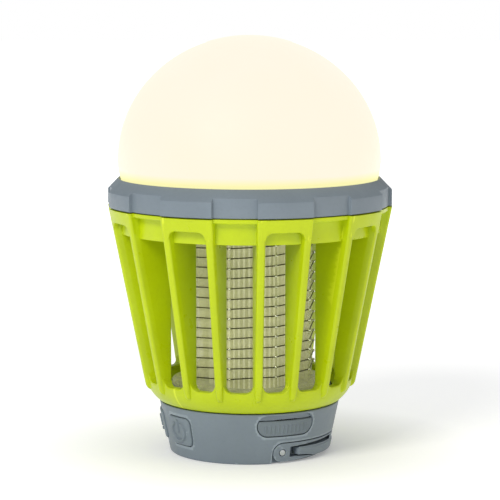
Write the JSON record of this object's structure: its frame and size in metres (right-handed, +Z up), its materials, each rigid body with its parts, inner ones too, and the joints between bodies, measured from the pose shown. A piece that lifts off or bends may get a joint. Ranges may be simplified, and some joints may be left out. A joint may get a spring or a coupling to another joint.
{
  "type": "electric insect killer lantern",
  "caption": "Round camping lantern and electric insect killer: glowing dome over a finned cage round a wire grid, on a conical base with push buttons, charging port cover and folding bail.",
  "frame": {"origin": "centre of the foot, on the surface that the lantern stands on", "axes": "+Z up through the dome; -Y is the front, between the power button and the charging port; +X to the right"},
  "size_m": [0.0881, 0.0882, 0.1288],
  "materials": {
    "grey_plastic": "moulded grey plastic, fine satin grain",
    "green_plastic": "moulded lime green plastic, semi gloss",
    "diffuser": "milky translucent diffuser, lit warm white",
    "led_chip": "yellow phosphor LED",
    "grey_rubber": "soft grey rubber",
    "black_rubber": "black rubber seal",
    "clear_plastic": "clear plastic with fine upright flutes",
    "grid_wire": "drawn steel wire",
    "steel": "plated steel",
    "circuit_board": "green solder mask",
    "cell_wrap": "shrink wrap",
    "transformer": "taped winding",
    "black_plastic": "moulded black plastic",
    "white_plastic": "moulded white plastic"
  },
  "bodies": {
    "base": {"base_shell": "grey_plastic", "base_bottom_plate": "grey_plastic", "bottom_screw_1": "steel", "bottom_screw_2": "steel", "bottom_screw_3": "steel", "base_deck": "grey_plastic", "control_board": "circuit_board", "hv_transformer": "transformer", "hv_capacitor": "black_plastic", "port_board": "circuit_board", "usb_socket": "steel", "power_switch": "black_plastic", "power_switch_board": "circuit_board", "mode_switch": "black_plastic", "mode_switch_board": "circuit_board", "bail_pin_front": "steel", "bail_pin_rear": "steel", "battery_cell": "cell_wrap", "battery_spring": "steel", "battery_contact": "steel", "uv_cover_tube": "clear_plastic", "uv_led_strip_1": "white_plastic", "uv_led_strip_2": "white_plastic", "uv_led_strip_3": "white_plastic", "uv_led_strip_4": "white_plastic", "grid_carrier": "clear_plastic", "grid_cap": "white_plastic", "grid_wire_a": "grid_wire", "grid_wire_b": "grid_wire", "lamp_board": "white_plastic", "lamp_led_1": "led_chip", "lamp_led_2": "led_chip", "lamp_led_3": "led_chip", "lamp_led_4": "led_chip", "lamp_led_5": "led_chip", "lamp_led_6": "led_chip"},
    "seal": {"seal_ring": "black_rubber"},
    "shade": {"cage": "green_plastic", "trim_ring": "grey_plastic", "reflector_plate": "white_plastic", "dome": "diffuser"},
    "bail": {"bail": "grey_plastic"},
    "power_button": {"power_button": "grey_plastic"},
    "mode_button": {"mode_button": "grey_plastic"},
    "port_cover": {"port_cover": "grey_rubber"}
  },
  "joints": [
    {"name": "shade_twist", "type": "hinge", "parent": "base", "child": "seal", "pos_m": [0, 0, 0.0168], "axis": [0, 0, -1], "range_deg": [0, 18]},
    {"name": "shade_lift", "type": "slide", "parent": "seal", "child": "shade", "axis": [0, 0, 1], "range_m": [0, 0.068]},
    {"name": "bail_swing", "type": "hinge", "parent": "base", "child": "bail", "pos_m": [0, 0, 0.00345], "axis": [-0.3987, 0.9171, 0], "range_deg": [0, 90]},
    {"name": "power_press", "type": "slide", "parent": "base", "child": "power_button", "axis": [0.7986, 0.6018, 0], "range_m": [0, 0.0006], "stiffness_N_per_m": 800},
    {"name": "mode_press", "type": "slide", "parent": "base", "child": "mode_button", "axis": [0.999, 0.0436, 0], "range_m": [0, 0.0006], "stiffness_N_per_m": 800},
    {"name": "port_cover_hinge", "type": "hinge", "parent": "base", "child": "port_cover", "pos_m": [0.01119, -0.024, 0.00895], "axis": [0.9063, 0.4226, 0], "range_deg": [0, 105]}
  ]
}
